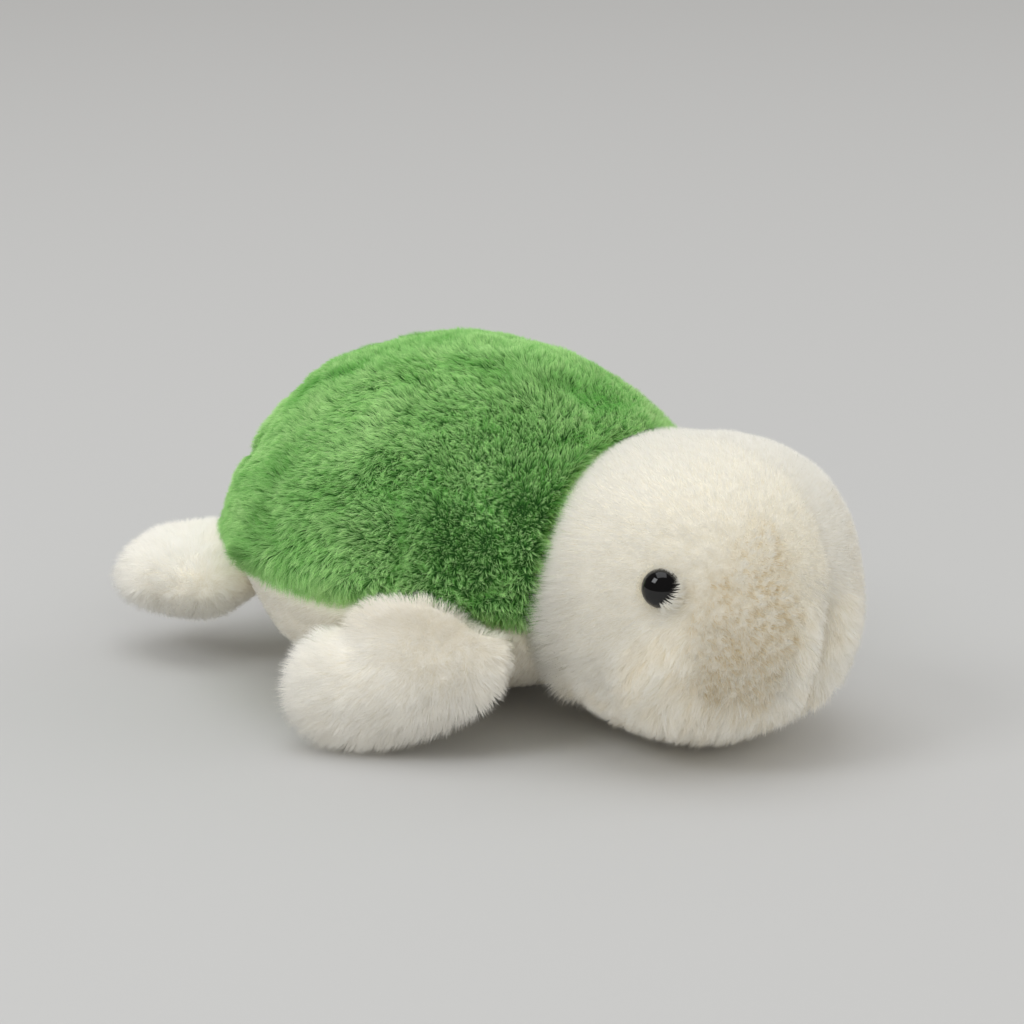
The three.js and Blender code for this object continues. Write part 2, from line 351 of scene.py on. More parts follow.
shell_grid = body_grid(SHELL, GREEN_PILE, crown=True)
belly_grid = body_grid(BELLY, BELLY_PILE, crown=False)
shell_top = egg_point(SHELL, np.array(math.pi / 2), np.array(0.0), -GREEN_PILE)
belly_low = np.array([0, BODY_Y, FLOOR_GAP])
belly_grid[..., 2] = np.maximum(belly_grid[..., 2], FLOOR_GAP)
shell_pad = ring_mesh("shell_pad", shell_grid[::-1], shell_grid[-1].mean(0), shell_top, "body")
belly_pad = ring_mesh("belly_pad", belly_grid, belly_low, belly_grid[-1].mean(0), "body")
for pad in (shell_pad, belly_pad):
    p = vectors(pad.data.vertices, "co") / MM
    sewn = (np.abs(above_hem(p)) < 2 * HEM_HALF) | (dents(p, *CREASE) > 0.2)
    stuffed(pad, sewn | in_head(p, 3.0) | (p[:, 2] < 1.0))
print("body covers:", len(shell_pad.data.vertices), len(belly_pad.data.vertices))

# %% [markdown]
# ## Cover of the head
# A ball with a shallow groove down the face, where its two panels are sewn, and a dimple round
# each eye, which the shank pulls in.

# %% Where the eyes are
HEAD_MIDDLE = np.array(HEAD["middle"])
HEAD_PILE = 3.2
EYE_TURN, EYE_LIFT = math.radians(67.5), math.radians(15.0)
SKIN = 50  # about how far the cover is from the head's middle


def way_at(turn, lift):
    """A unit vector, turned from the face's way (-Y) towards +X and lifted above the level."""
    flat = math.cos(lift)
    return np.array([math.sin(turn) * flat, -math.cos(turn) * flat, math.sin(lift)])


def eye_way(side):
    """From the middle of the head to an eye."""
    return way_at(side * EYE_TURN, EYE_LIFT)


# %% Forms of the head
def head_forms():
    """Hollows (+) and bulges (-) of the head: the middle of each, its depth and its width."""
    forehead = unit(np.array([0, -0.6, 0.62])) * (SKIN + 1)
    forms = [(forehead, -1.6, 17.0)]
    for side in (-1, 1):
        brow = unit(np.array([0.59 * side, -0.43, 0.68])) * (SKIN + 1)
        nape = unit(np.array([0.34 * side, 0.62, 0.68])) * (SKIN + 1)
        forms += [(eye_way(side) * SKIN, 1.6, 9.0), (brow, -2.2, 24.0), (nape, 1.7, 22.0)]
    return forms


def head_shape(p):
    """How far the head's surface sinks at a point: a valley down the lower face where the panels
    are sewn, less the lobes on its two sides, and less a fuller crown, plus the forms above."""
    q = p - HEAD_MIDDLE
    face = smooth(0, -25, q[..., 1]) * smooth(12, -8, q[..., 2]) * smooth(-50, -28, q[..., 2])
    valley = 5.2 * bell(q[..., 0], 4.8)
    lobe = 1.5 * bell(np.abs(q[..., 0]) - 16, 9.0)
    sink = face * (valley - lobe) - 0.5 * smooth(34, 50, q[..., 2])
    for middle, depth, width in head_forms():
        sink = sink + depth * bell(np.linalg.norm(q - middle, axis=-1), width)
    return sink


# %% Head cover
def head_grid(rings=84, around=168):
    """Rings from the underside of the head's egg to its top, moved along the way out of its
    middle by a wide noise less the sinking above."""
    lift = (np.arange(1, rings) / rings - 0.5) * math.pi
    grid = egg_point(HEAD, *np.meshgrid(lift, circle(around), indexing="ij"), -HEAD_PILE)
    lumps = noise(grid, 30.0, 11) * 0.5
    grid = grid + unit(grid - HEAD_MIDDLE) * (lumps - head_shape(grid))[..., None]
    grid[..., 2] = np.maximum(grid[..., 2], FLOOR_GAP)
    return grid


head_pad = ring_mesh(
    "head_pad", head_grid(), np.array([0, HEAD_MIDDLE[1], FLOOR_GAP]),
    np.array([0, HEAD_MIDDLE[1], 100.5 - HEAD_PILE]), "head",
)
p = vectors(head_pad.data.vertices, "co") / MM
held = (np.abs(p[:, 0]) < 1.6) & (p[:, 1] < HEAD_MIDDLE[1])
for side in (-1, 1):
    held = held | (np.linalg.norm(p - HEAD_MIDDLE - eye_way(side) * SKIN, axis=1) < 7)
stuffed(head_pad, held | (p[:, 2] < 1.0) | (egg_level(SHELL, p) < 1.1))
print("head cover:", len(head_pad.data.vertices))

# %% [markdown]
# ## Covers of the flippers
# Each flipper is a small cushion that swells from its root and tapers to its tip. Where it would
# run into the body, at rest or swung, its cover slides back until it is clear.

# %% Sizes of the flippers
# root and tip are the middles of a flipper's ends, and its root runs on into the body by buried.
# wide and thick are half sizes, roll turns it about its length, and at_root and at_tip narrow it.
# droop lowers its root, and axis and swing are its joint's. bend, where along the flipper the
# joint's bend would start and end, is not used. Its pile parts at crown. A lump is a place along
# the flipper, a width, a height, and the edge that it stands on.
FRONT = dict(
    root=np.array([-54.0, -59.0 + BODY_Y, 44.0]), tip=np.array([-92.0, 1.0 + BODY_Y, 13.0]),
    buried=4.0, wide=29.0, thick=16.0, roll=12.0, at_root=0.2, at_tip=0.22, droop=5.0,
    axis=(0, 0, 1), swing=(-3, 10, 22, 35), bend=(-2.0, 30.0),
    crown=(-75.0, -49.0 + BODY_Y, 38.0),
    lumps=((0.68, 0.11, -6.0, 1), (0.34, 0.16, 7.5, 1), (0.0, 0.12, -6.0, 1)),
)
REAR = dict(
    root=np.array([-32.0, 70.0 + BODY_Y, 31.0]), tip=np.array([-45.0, 121.0 + BODY_Y, 28.0]),
    buried=9.0, wide=22.0, thick=16.0, roll=75.0, at_root=0.28, at_tip=-0.18, droop=0.0,
    axis=(1, 0, 0), swing=(-15, -5, 5, 15), bend=(-6.0, 24.0),
    crown=(-54.0, 85.0 + BODY_Y, 29.0),
    lumps=((0.36, 0.26, 6.8, 1), (0.32, 0.22, 5.0, -1)),
)
LIMB_PILE = 5.0
print("flippers are", FRONT["wide"] * 2, "and", REAR["wide"] * 2, "mm wide")


# %% Shape of a flipper
def limb_axes(limb):
    """Along the flipper, across it, and out of its broad face, as three unit vectors."""
    along = unit(limb["tip"] - limb["root"])
    up = unit(np.array([0, 0, 1.0]) - along * along[2])
    side = np.cross(up, along)
    roll = math.radians(limb["roll"])
    face = side * math.cos(roll) + up * math.sin(roll)
    return along, np.cross(face, along), face


def limb_point(limb, share, turn, grow):
    """A point of the flipper: share runs from 0 at the root to 1 at the tip, and turn goes round
    it. The half sizes follow (1 - |2 share - 1|^2.15)^(1/2.15), narrowed at root and tip."""
    along, across, face = limb_axes(limb)
    length = np.linalg.norm(limb["tip"] - limb["root"]) + limb["buried"] + 2 * grow
    full = (1 - np.abs(2 * share - 1) ** 2.15) ** (1 / 2.15)
    swell = full * (1 - limb["at_root"] * (1 - share) ** 2 - limb["at_tip"] * share ** 2)
    start = -limb["buried"] - grow
    place = limb["root"] + (start + length * share)[..., None] * along
    place = place + ((limb["wide"] + grow) * swell * np.cos(turn))[..., None] * across
    return place + ((limb["thick"] + grow) * swell * np.sin(turn))[..., None] * face


def turned(p, limb, degrees):
    """Points turned about a flipper's joint, by the rule of Rodrigues."""
    a, k, q = math.radians(degrees), np.array(limb["axis"], float), p - limb["root"]
    still = q @ k[:, None] * k * (1 - math.cos(a))
    return q * math.cos(a) + np.cross(k, q) * math.sin(a) + still + limb["root"]


# %% Room for the flippers
def body_level(p, grow=0.0):
    """The lower of the body's two egg levels: under 1 inside it, and more outside."""
    return np.minimum(egg_level(SHELL, p, grow), egg_level(BELLY, p, grow))


def limb_blocked(limb, p, grow):
    """Inside the body at any of the flipper's swings, or inside the head."""
    hit = in_head(p, grow)
    for degrees in limb["swing"]:
        hit = hit | (body_level(turned(p, limb, degrees), grow) < 1)
    return hit


def mirror(p, side):
    """A point of the right flipper, taken across to the side asked for."""
    return p * [-side, 1, 1]


# %% Flipper covers
def limb_lumps(limb, grid, share, turn):
    """A noise, plus the flipper's own lumps: bells along it, on its upper or its lower edge."""
    lumps = noise(grid, 22.0, 21) * 0.8
    upper = np.sign(limb_axes(limb)[1][2]) * np.cos(turn)
    for place, width, height, edge in limb["lumps"]:
        lumps = lumps + height * bell(share - place, width) * smooth(0.1, 0.9, edge * upper)
    return lumps


def limb_pad(name, limb, side, rings=46, around=64):
    """A flipper's cover: rings from root to tip, closer together at the ends. Its points move
    away from an anchor inside it by the lumps, and slide back to it until the body is clear."""
    share = (1 - np.cos(np.arange(1, rings) / rings * math.pi)) / 2
    turn = circle(around)
    grid = limb_point(limb, *np.meshgrid(share, turn, indexing="ij"), -LIMB_PILE)
    ends = limb_point(limb, np.array([0.0, 1.0]), np.zeros(2), -LIMB_PILE)
    anchor = limb_point(limb, np.array(0.62), np.array(math.pi / 2), LIMB_PILE - limb["thick"])
    grid = grid + unit(grid - anchor) * limb_lumps(limb, grid, share[:, None], turn)[..., None]
    grid[..., 2] -= limb["droop"] * smooth(0.4, 0.0, share)[:, None]
    ends[0, 2] -= limb["droop"]
    points = np.concatenate([ends[:1], grid.reshape(-1, 3), ends[1:]])
    points = mirror(pushed_out(points, anchor, lambda p: limb_blocked(limb, p, 1.2)), side)
    points[:, 2] = np.maximum(points[:, 2], 1.0)
    faces = [face[::-side] for face in ring_faces(*grid.shape[:2])]
    pad = add_mesh(name + "_pad", points, faces, name)
    p = mirror(points, side)
    edge = np.abs((p - limb["root"]) @ limb_axes(limb)[2]) < 0.7
    stuffed(pad, edge | limb_blocked(limb, p, 3.5) | (points[:, 2] < 1.2))
    return pad


LIMBS = {}
for limb_name, limb in (("front", FRONT), ("rear", REAR)):
    for side_name, side in (("right", -1), ("left", 1)):
        name = f"{limb_name}_{side_name}_flipper"
        LIMBS[name] = (limb, side, limb_pad(name, limb, side))
print("flipper covers:", ", ".join(LIMBS))

# %% Filling of the flippers
FILLING_DEPTH = 2.0


def limb_filling(name, pad):
    """The loose fibre that swells a flipper: its cover again, drawn in along
    the normals."""
    mesh = pad.data
    inward = -FILLING_DEPTH * vectors(mesh.vertex_normals, "vector")
    points = vectors(mesh.vertices, "co") / MM + inward
    return add_mesh(name + "_wadding", points, [tuple(f.vertices) for f in mesh.polygons], name)


FILLINGS = {name: limb_filling(name, pad) for name, (_, _, pad) in LIMBS.items()}
print("flipper fillings:", len(FILLINGS))

# %% [markdown]
# ## Pile
# Blender's hair would be the usual way to make pile, but the part is kept as meshes. So a strand
# is a narrow ribbon of two lengths that tapers to a point. It starts near the surface's normal,
# bends over along the nap, and leans to its tuft's centre. Its UV map is a palette: its tint
# across, and its height from root to tip.

# %% Scattering roots
EVEN_R, EVEN_S = 0.7548776662, 0.5698402910  # steps of a sequence that fills a square evenly


def scatter(pad, density, weight, seed):
    """Roots spread over a cover: the running total of area times weight is cut into equal steps,
    and each root lies in its step's triangle at a place from a sequence that fills it evenly."""
    mesh = pad.data
    mesh.calc_loop_triangles()
    tri = vectors(mesh.loop_triangles, "vertices", np.int32)
    corner = (vectors(mesh.vertices, "co") / MM)[tri]
    facing = vectors(mesh.vertex_normals, "vector")[tri]
    first, second = corner[:, 1] - corner[:, 0], corner[:, 2] - corner[:, 0]
    area = np.linalg.norm(np.cross(first, second), axis=1)
    running = np.cumsum(area / 2 * weight(corner.mean(1)))
    count = int(running[-1] * density)
    rng = np.random.default_rng(seed)
    k = np.arange(count)
    at = np.searchsorted(running, (k + rng.random(count)) / count * running[-1])
    at = np.minimum(at, len(area) - 1)
    r = np.sqrt((0.5 + k * EVEN_R) % 1)
    s = (0.5 + k * EVEN_S) % 1
    share = np.stack([1 - r, r * (1 - s), r * s], -1)[..., None]
    return (corner[at] * share).sum(1), unit((facing[at] * share).sum(1)), rng


def tangent(v, normal):
    """The part of v that lies in the surface, at unit length."""
    return unit(v - (v * normal).sum(-1, keepdims=True) * normal)


def swirled(flow, normal, angle):
    """flow turned about the normal."""
    return flow * np.cos(angle)[:, None] + np.cross(normal, flow) * np.sin(angle)[:, None]


# %% Shape of the strands
# A ribbon is a square and then a triangle. For each of their seven corners: which of the
# ribbon's five points it is, that point's ring, and 0 on the left edge or 1 on the right.
CORNER = np.array([0, 1, 3, 2, 2, 3, 4])
RING = np.array([0, 0, 1, 1, 1, 1, 2])
ACROSS = np.array([0, 1, 1, 0, 0, 1, 0.5])
STEPS = 2  # lengths in a ribbon
FIBRE_ROUND = 0.75  # how far the shading leans outwards at its edges


def strand_rings(root, normal, flow, length, low, high, pull, *_):
    """The middle of a strand at each ring, and its way there. Its angle from the normal grows
    from low to high, and the tip moves by pull. No ring goes below the floor."""
    place, way, point = [root], [], root
    for step in range(STEPS):
        angle = (low + (high - low) * (step + 0.5) / STEPS)[:, None]
        d = np.cos(angle) * normal + np.sin(angle) * flow
        point = point + d * (length / STEPS)[:, None]
        place.append(point + pull * ((step + 1) / STEPS) ** 1.6)
        way.append(d)
    way.append(way[-1])
    for ring in range(STEPS + 1):
        place[ring][:, 2] = np.maximum(place[ring][:, 2], 0.4 + 0.2 * ring)
    return place, way


def strand_points(strands, rng):
    """Points and shading normals of the ribbons: a pair at each ring, and one at the tip. The
    shading normal is the cover's, less part of what points along the strand, as on brushed
    cloth. It leans outwards at the two edges, which shades the ribbon as a round fibre."""
    root, normal, _, length, _, _, pull, width, _, bent = strands
    place, way = strand_rings(*strands)
    whole = unit(place[-1] - root)
    side = unit(np.cross(whole, normal + rng.normal(0, 0.55, root.shape)))
    flip = (np.cross(side, whole) * normal).sum(-1) < 0
    side[flip] = -side[flip]
    points, shine = [], []
    for ring in range(STEPS + 1):
        d = unit(way[ring] + pull / length[:, None])
        lit = unit(normal - bent[:, None] * (normal * d).sum(-1, keepdims=True) * d)
        half = side * (width * (1 - (ring / STEPS) ** 2) / 2)[:, None]
        for sign in (-1, 1):
            points.append(place[ring] + sign * half)
            shine.append(unit(lit + sign * FIBRE_ROUND * side))
    return np.stack(points[:-1], 1), np.stack(shine[:-1], 1)


# %% Strands as meshes
PALETTE = 64  # columns of tints in the palette
MOST_TRIANGLES = 195000  # in one piece


def strand_mesh(name, strands, seed, body):
    """Ribbons as one mesh. In the palette, a ribbon takes the column of its tint, and rises in
    it from root to tip."""
    points, shine = strand_points(strands, np.random.default_rng(seed))
    n, count = points.shape[:2]
    row = np.arange(n)[:, None]
    mesh = bpy.data.meshes.new(name)
    mesh.vertices.add(n * count)
    mesh.vertices.foreach_set("co", (points * MM).ravel())
    mesh.loops.add(n * len(CORNER))
    mesh.loops.foreach_set("vertex_index", (CORNER + count * row).ravel())
    mesh.polygons.add(n * STEPS)
    mesh.polygons.foreach_set("loop_start", (np.array([0, 4]) + len(CORNER) * row).ravel())
    mesh.polygons.foreach_set("use_smooth", np.ones(n * STEPS, bool))
    tint = np.clip(strands[8], 0, 0.999)[:, None]
    column = np.floor(tint * PALETTE)
    u = (column + 0.02 + 0.96 * ACROSS) / PALETTE
    v = np.broadcast_to(RING / STEPS, u.shape)
    layer = mesh.uv_layers.new(name="OFBake")
    layer.data.foreach_set("uv", np.stack([u, v], -1).ravel())
    mesh.update(calc_edges=True)
    mesh.normals_split_custom_set_from_vertices(shine.reshape(-1, 3))
    return placed(name, mesh, body)


def pile(name, strands, order, material, body):
    """Strands as pieces of under 200,000 triangles each, cut along an order over the surface."""
    ranks = np.argsort(order)
    parts = math.ceil(len(ranks) * (2 * STEPS - 1) / MOST_TRIANGLES)
    made = []
    for k, chunk in enumerate(np.array_split(ranks, parts)):
        label = name if parts == 1 else f"{name}_{k + 1}"
        made.append(strand_mesh(label, [v[chunk] for v in strands], 70 + k, body))
        made[-1].data.materials.append(material)
    print(name, "strands:", len(ranks), "pieces:", parts)
    return made


# %% [markdown]
# ## Materials
# On the real toy, light enters the pile between the strands and leaves it tinted, so the roots are
# dark and warm and the tips pale. Pile of every colour shares one node group, which turns a
# strand's height and tint into its colour.


# %% Node helpers
def add_node(tree, kind, inputs=(), **settings):
    """A shader node with its settings, whose inputs get a value or a link from another node."""
    node = tree.nodes.new("ShaderNode" + kind)
    for name, value in settings.items():
        setattr(node, name, value)
    for socket, value in dict(inputs).items():
        if isinstance(value, bpy.types.NodeSocket):
            tree.links.new(value, node.inputs[socket])
        else:
            node.inputs[socket].default_value = value
    return node


def new_material(name, **values):
    """A material, its node tree and its Principled BSDF, with these values on the shader."""
    material = bpy.data.materials.new(name)
    material.use_nodes = True
    shader = material.node_tree.nodes["Principled BSDF"]
    for label, value in values.items():
        shader.inputs[label.replace("_", " ")].default_value = value
    return material, material.node_tree, shader


def blended(tree, factor, a, b):
    """The colour between two others at a factor."""
    inputs = {"Factor": factor, "A": a, "B": b}
    return add_node(tree, "Mix", inputs, data_type="RGBA").outputs["Result"]


def grain(tree, scale, detail):
    """A noise through the object's own space."""
    place = add_node(tree, "TexCoord").outputs["Object"]
    inputs = {"Vector": place, "Scale": scale, "Detail": detail}
    return add_node(tree, "TexNoise", inputs).outputs["Fac"]


# %% Colour of a strand
STRAND_COLOURS = ("Root", "Tinted root", "Tip", "Tinted tip")


def pile_colour_group():
    """The root's and the tip's colours, each moved towards its tinted one by the strand's tint,
    and a mix of these two by height to the power 0.8."""
    group = bpy.data.node_groups.new("Pile colour", "ShaderNodeTree")
    for label in ("Height", "Tint", *STRAND_COLOURS):
        kind = "NodeSocketColor" if label in STRAND_COLOURS else "NodeSocketFloat"
        group.interface.new_socket(label, in_out="INPUT", socket_type=kind)
    group.interface.new_socket("Color", in_out="OUTPUT", socket_type="NodeSocketColor")
    given, shown = group.nodes.new("NodeGroupInput").outputs, group.nodes.new("NodeGroupOutput")
    eased = add_node(group, "Math", {0: given["Height"], 1: 0.8}, operation="POWER")
    root = blended(group, given["Tint"], given["Root"], given["Tinted root"])
    tip = blended(group, given["Tint"], given["Tip"], given["Tinted tip"])
    group.links.new(blended(group, eased.outputs[0], root, tip), shown.inputs["Color"])
    return group


PILE_COLOUR = pile_colour_group()


# %% Pile and cloth
def pile_material(name, *colours, passed):
    """A strand's back shows the light that falls on its front, because it is thin. Shadows of
    strands are light for the same reason: the lamps come through in part, tinted."""
    material, tree, shader = new_material(name, Roughness=0.7, Specular_IOR_Level=0.2)
    palette = add_node(tree, "UVMap", uv_map="OFBake").outputs["UV"]
    parts = add_node(tree, "SeparateXYZ", {0: palette}).outputs
    inputs = {"Height": parts["Y"], "Tint": parts["X"]}
    inputs.update((label, (*colour, 1)) for label, colour in zip(STRAND_COLOURS, colours))
    colour = add_node(tree, "Group", inputs, node_tree=PILE_COLOUR).outputs["Color"]
    tree.links.new(colour, shader.inputs["Base Color"])
    back = add_node(tree, "NewGeometry").outputs["Backfacing"]
    through = add_node(tree, "BsdfTranslucent", {"Color": colour}).outputs[0]
    strand = add_node(tree, "MixShader", {0: back, 1: shader.outputs[0], 2: through}).outputs[0]
    shadow = add_node(tree, "LightPath").outputs["Is Shadow Ray"]
    glow = add_node(tree, "BsdfTransparent", {"Color": (*passed, 1)}).outputs[0]
    both = add_node(tree, "MixShader", {0: shadow, 1: strand, 2: glow}).outputs[0]
    tree.links.new(both, tree.nodes["Material Output"].inputs["Surface"])
    return material


def cloth_material(name, dark, light, roughness):
    """Backing cloth: two colours by a fine noise, with a knitted bump."""
    material, tree, shader = new_material(name, Roughness=roughness)
    cloud = grain(tree, 420.0, 3.0)
    tone = add_node(tree, "ValToRGB", {"Fac": cloud})
    tone.color_ramp.interpolation = "EASE"
    for stop, place, colour in zip(tone.color_ramp.elements, (0.3, 0.7), (dark, light)):
        stop.position, stop.color = place, (*colour, 1)
    tree.links.new(tone.outputs["Color"], shader.inputs["Base Color"])
    bump = add_node(tree, "Bump", {"Strength": 0.5, "Distance": 0.0006, "Height": cloud})
    tree.links.new(bump.outputs["Normal"], shader.inputs["Normal"])
    return material


green_pile = pile_material(
    "Green pile", (0.01, 0.075, 0.006), (0.05, 0.23, 0.03),
    (0.20, 0.58, 0.115), (0.68, 0.98, 0.45), passed=(0.57, 0.78, 0.50),
)
cream_pile = pile_material(
    "Cream pile", (0.93, 0.895, 0.80), (0.66, 0.52, 0.30),
    (0.975, 0.958, 0.90), (0.87, 0.75, 0.51), passed=(0.85, 0.84, 0.80),
)
flipper_pile = pile_material(
    "Flipper pile", (0.95, 0.92, 0.84), (0.66, 0.52, 0.30),
    (0.98, 0.965, 0.915), (0.87, 0.75, 0.51), passed=(0.90, 0.89, 0.865),
)
green_cloth = cloth_material("Green backing", (0.01, 0.05, 0.007), (0.03, 0.11, 0.02), 0.95)
cream_cloth = cloth_material("Cream backing", (0.82, 0.77, 0.65), (0.90, 0.86, 0.76), 0.95)
wadding = cloth_material("Wadding", (0.80, 0.80, 0.77), (0.92, 0.92, 0.90), 1.0)
washer_plastic = cloth_material("Washer plastic", (0.78, 0.78, 0.75), (0.84, 0.84, 0.81), 0.45)
print("materials:", len(bpy.data.materials))

# %% [markdown]
# ## Green pile of the shell
# The nap of long plush lies one way: here back and down, in waves. Beside the head it stands
# nearly upright in small tufts.

# %% Shell pile
def leaned(p, n, sizes, shares, seed):
    """What pulls strands into tufts: part of the way to the nearest centre of each size."""
    pull, marks = np.zeros_like(p), []
    for k, (size, share) in enumerate(zip(sizes, shares)):
        centre, mark = tuft(p, size, seed + k)
        pull = pull + np.reshape(share, (-1, 1)) * (centre - p)
        marks.append(mark)
    return pull - (pull * n).sum(-1, keepdims=True) * n, marks


def shell_weight(p):
    """No strands where the head presses in, or on the cap across the hem."""
    shown = (egg_level(HEAD, p, -3.0) > 1) & (above_hem(p) > -0.6)
    return shown & (egg_level(SHELL, p, -GREEN_PILE - 7.0) > 1)


def shell_flow(p, n, by_head, hem):
    """The combed nap: back, and down more steeply on the sides. Near the head it is brushed away
    from it, and at the hem it hangs."""
    down = 0.3 + 0.6 * smooth(100, 60, p[:, 2])[:, None]
    flow = tangent(down * [0, 0, -1] + [0, 1, 0], n)
    flow = unit(flow * (1 - by_head) - tangent(HEAD_MIDDLE - p, n) * (0.5 * by_head))
    return unit(flow + hem[:, None] * tangent(np.array([0, 0, -1.5]), n))


def shell_pile():
    """Noises of several sizes turn and lift the strands, which are longer at the hem and where
    the shell meets the head."""
    p, n, rng = scatter(shell_pad, 6.8, shell_weight, 101)
    y = p[:, 1] - BODY_Y
    upright = smooth(0, -38, y + 9 * noise(p, 16.0, 30)) * smooth(114, 92, p[:, 2])
    crease, hem = dents(p, *CREASE), smooth(12, 2, above_hem(p))
    sizes, shares = (3.4, 0.85), (0.34 + 0.16 * hem, 0.36 + 0.22 * upright)
    pull, (wide, fine) = leaned(p, n, sizes, shares, 36)
    wide, fine = wide - 0.5, fine - 0.5
    swirl = 1.1 * noise(p, 22.0, 31) + 1.1 * noise(p, 10.0, 32) + 0.45 * noise(p, 4.0, 29)
    swirl = swirl + (0.9 + 4.5 * upright) * fine + 0.9 * wide + rng.normal(0, 0.2, len(p))
    by_head = smooth(1.4, 1.1, egg_level(HEAD, p))
    flow = swirled(shell_flow(p, n, by_head[:, None], hem), n, swirl)
    stand = 1.2 * noise(p, 11.0, 34) + (0.5 + 0.4 * upright) * noise(p, 5.0, 28)
    stand = stand + (0.7 + 0.1 * upright) * wide - 1.3 * crease
    length = 3.7 - 0.6 * upright + 0.5 * by_head
    length = length + 0.5 * noise(p, 12.0, 33) + 0.7 * smooth(1.2, 1.06, egg_level(HEAD, p))
    behind, before = smooth(-0.6, 0.5, y / SHELL["long"]), smooth(-0.5, -0.8, y / SHELL["long"])
    length += hem * (0.6 + 3.2 * behind + 1.5 * before)
    length *= rng.uniform(0.78, 1.12, len(p))
    low = np.radians(18 - 8 * upright - 13 * stand)
    high = np.radians(66 - 26 * upright - 22 * stand) + rng.normal(0, 0.14, len(p))
    width = rng.uniform(0.12, 0.19, len(p))
    shade = 0.78 - 0.06 * upright + 0.16 * noise(p, 38.0, 38) + 0.22 * noise(p, 9.0, 39)
    # Painted shade: the pile is tinted darker along the creases.
    shade = shade + 0.2 * wide + (0.5 + 0.7 * upright) * fine - 0.55 * crease
    shade += rng.normal(0, 0.1 + 0.08 * upright)
    # Painted shade: the pile is darker towards the rear and at the top, which evens out the lamps'
    # light there.
    shade = shade - 0.24 * smooth(0, 60, y) - 0.32 * smooth(92, 116, p[:, 2])
    strands = (p, n, flow, length, low, high, pull, width, shade, np.full(len(p), 0.85))
    return pile("shell_pile", strands, np.arctan2(y, p[:, 0]), green_pile, "body")


# %% Belly pile
def belly_weight(p):
    """No strands where the head presses in, on the cap across the hem, or on the floor."""
    shown = (egg_level(HEAD, p, -2.0) > 1) & (above_hem(p) < 0.4) & (p[:, 2] > 1.5)
    return shown & (egg_level(BELLY, p, -BELLY_PILE - 6.0) > 1)


def belly_pile():
    """Short pile combed backwards and a little down."""
    p, n, rng = scatter(belly_pad, 1.9, belly_weight, 102)
    flow = tangent(np.array([0, 1.0, -0.3]), n)
    flow = swirled(flow, n, 0.5 * noise(p, 20.0, 41) + rng.normal(0, 0.25, len(p)))
    length = 3.0 * rng.uniform(0.8, 1.15, len(p))
    low = np.radians(30 + 8 * noise(p, 7.0, 42))
    high = np.radians(76 + 6 * noise(p, 5.0, 43))
    pull, (mark,) = leaned(p, n, (2.2,), (0.25,), 44)
    width = rng.uniform(0.2, 0.3, len(p))
    shade = 0.12 + 0.06 * mark + rng.normal(0, 0.03, len(p))
    strands = (p, n, flow, length, low, high, pull, width, shade, np.full(len(p), 0.25))
    return pile("belly_pile", strands, p[:, 1], cream_pile, "body")


# %% [markdown]
# ## Velvet of the head
# The face has short velvet pile, combed back. It is beige and granular on the patch before the
# eye, and brushed into longer locks below the eye and at the chin.

# %% Where the head's pile changes
def eye_seat(side):
    """Where the eye's dome meets the backing cloth: along its way from the middle of the head."""
    way = eye_way(side)
    flat = math.hypot(way[0], way[1]) / HEAD["wide"]
    depth = (flat ** (2 / HEAD["power"]) + (way[2] / HEAD["above"]) ** (2 / HEAD["power"]))
    return HEAD_MIDDLE + way * (depth ** (-HEAD["power"] / 2) - 5.0)


def head_weight(p):
    """Four times as many strands round the eyes, none under them, and none deep in the neck."""
    near = np.minimum(*[np.linalg.norm(p - eye_seat(s), axis=1) for s in (-1, 1)])
    hidden = (body_level(p, -9.0) < 1) & (p[:, 1] > HEAD_MIDDLE[1] + 8)
    return ((near > 5.9) & ~hidden & (p[:, 2] > 1.5)) * (1 + 3 * smooth(9.0, 7.0, near))


def head_zones(p):
    """Shares from 0 to 1 of the beige patch, the face seam, the brushed pile below the eye and on
    the lobes beside the seam, the chin, and the rim that meets the body. Angles are in degrees:
    turn goes from the face round to each side, and lift goes up."""
    q = unit(p - HEAD_MIDDLE)
    turn = np.degrees(np.arctan2(np.abs(q[:, 0]), -q[:, 1]))
    lift = np.degrees(np.arcsin(np.clip(q[:, 2], -1, 1)))
    skew = turn - 36 + 0.12 * lift
    away = np.hypot(skew / 21, (lift - 1) / 36)
    away = away + 0.1 * noise(p, 15.0, 50) + 0.25 * noise(p, 5.0, 49)
    patch = smooth(1.15, 0.65, away) * smooth(6, 18, turn) * np.where(p[:, 0] < 0, 1.0, 0.3)
    seam = bell(p[:, 0], 2.6) * smooth(10, -2, lift) * smooth(-42, -34, lift)
    ridge = smooth(22, 14, turn) * smooth(3, 7, turn) * smooth(14, 2, lift) * smooth(-46, -34, lift)
    brushed = smooth(1.5, 0.8, np.hypot((turn - 56) / 26, (lift + 22) / 22))
    brushed = np.maximum(brushed, 0.7 * ridge) * (1 - patch)
    rim = smooth(1.3, 1.04, body_level(p)) * (0.3 + 0.7 * smooth(25, -5, lift))
    return patch, seam, brushed, smooth(-20, -40, lift), rim


def round_eyes(p, n):
    """For each eye, the share of the ring about it, the share that laps over its dome from the
    front and below, and the way to it along the surface."""
    near_eye = []
    for side in (-1, 1):
        to_eye = eye_seat(side) - p
        inward = tangent(to_eye, n)
        ring = smooth(11.5, 6.5, np.linalg.norm(to_eye, axis=1))
        over = ring * smooth(-0.75, 0.1, inward[:, 2]) * smooth(0.0, 0.5, inward[:, 1])
        near_eye.append((ring, over, inward))
    return near_eye


